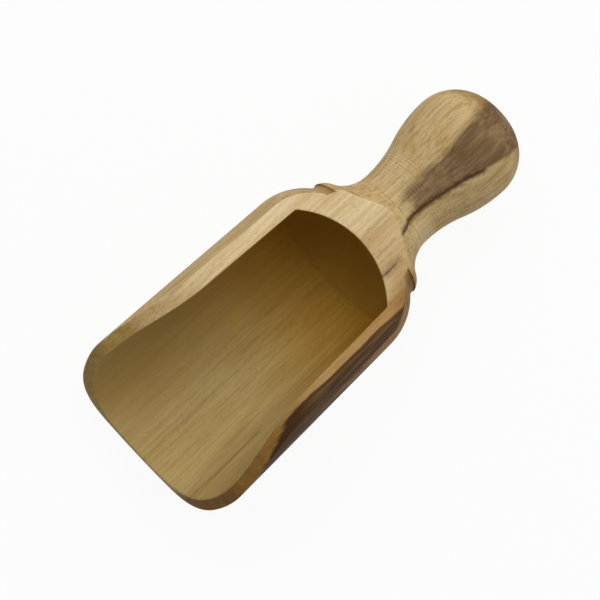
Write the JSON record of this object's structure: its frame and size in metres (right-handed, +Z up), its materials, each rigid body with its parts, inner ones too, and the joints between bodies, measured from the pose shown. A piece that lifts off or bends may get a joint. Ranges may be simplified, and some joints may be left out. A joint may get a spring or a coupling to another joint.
{
  "type": "measuring spoon",
  "caption": "Turned wooden measuring scoop: an open barrel bowl with a collar, joined by a hidden glued dowel to a slim neck and knob handle.",
  "frame": {"origin": "on the table that the scoop lies on, in its plane of symmetry, below the middle of its overall length", "axes": "+Z up from the table, +X along the scoop towards its open lip, +Y to the left when looking towards the lip. The turning axis lies in the XZ plane and rises by 9.94 degrees towards the lip, because the scoop rests on its shoulder and its knob"},
  "size_m": [0.1438, 0.058, 0.0462],
  "materials": {
    "bowl_wood": "bare, fine-sanded, with a brown heartwood stripe along one side",
    "handle_wood": "bare, fine-sanded, with a brown heartwood patch on top",
    "dowel_wood": "bare"
  },
  "bodies": {
    "root": {"bowl": "bowl_wood", "handle": "handle_wood", "joint_dowel": "dowel_wood"}
  },
  "joints": []
}
